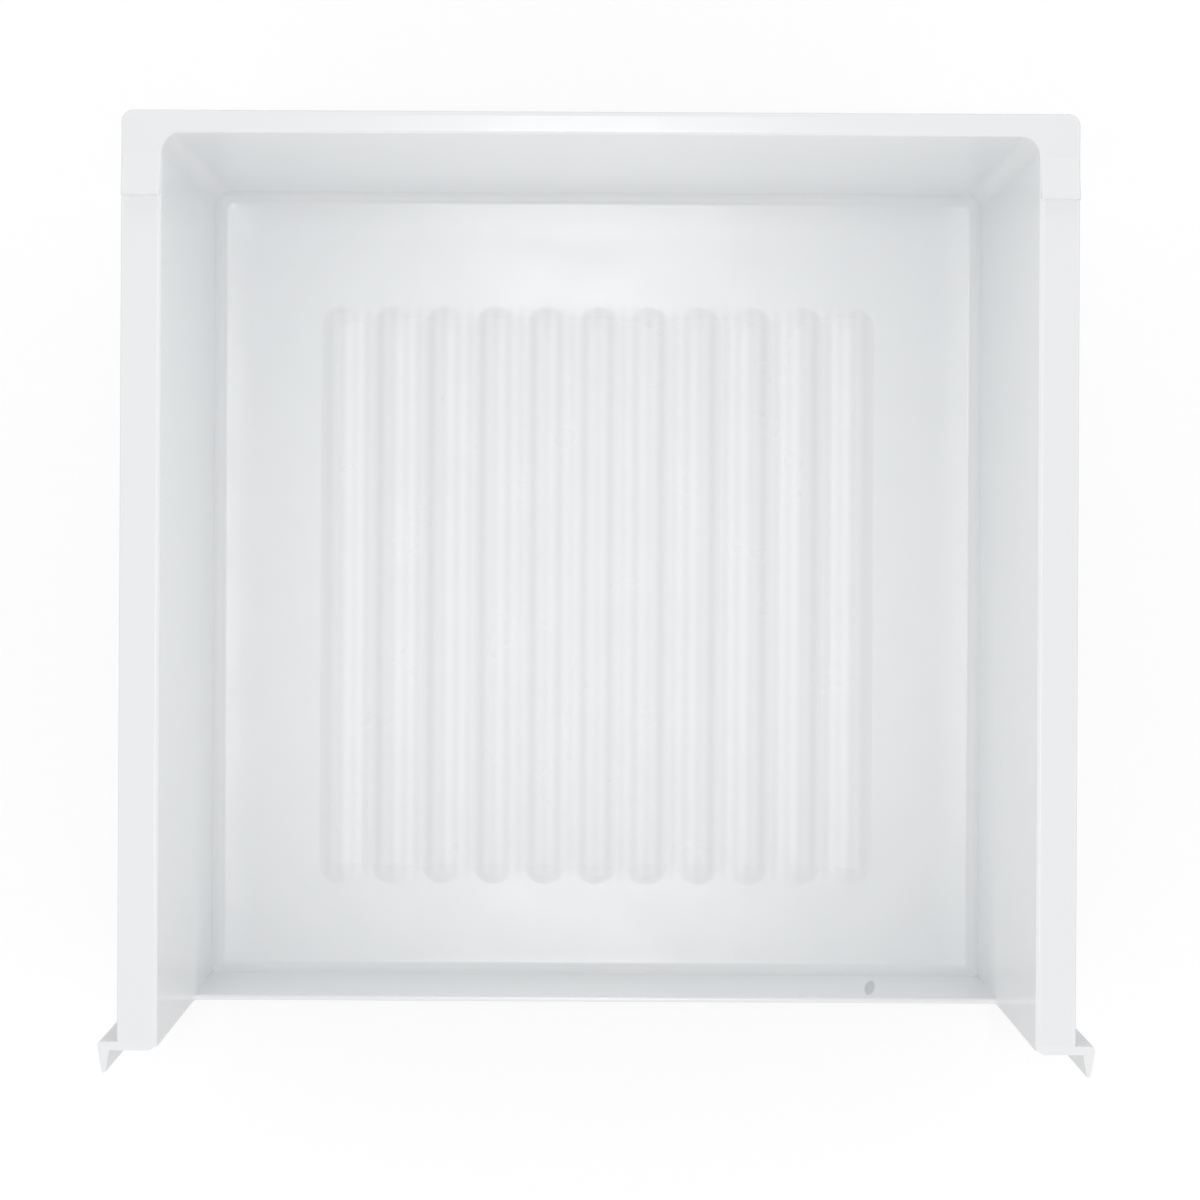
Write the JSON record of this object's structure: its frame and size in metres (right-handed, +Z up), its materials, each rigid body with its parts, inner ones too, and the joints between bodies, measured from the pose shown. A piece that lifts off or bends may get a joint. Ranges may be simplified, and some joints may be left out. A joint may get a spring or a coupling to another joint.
{
  "type": "refrigerator crisper drawer pan",
  "caption": "Deep white moulded drawer pan with a ridged floor, hanging side runners, a low front wall and upright front flanges that carry a separate front panel.",
  "frame": {"origin": "under the middle of the overall box, on the plane that the pan stands on", "axes": "+Z up, +X to the right seen from the open front, -Y out of the open front"},
  "size_m": [0.418, 0.405, 0.195],
  "materials": {
    "white_plastic": "white polystyrene moulding with a soft gloss"
  },
  "bodies": {
    "root": {"crisper_pan": "white_plastic"}
  },
  "joints": []
}
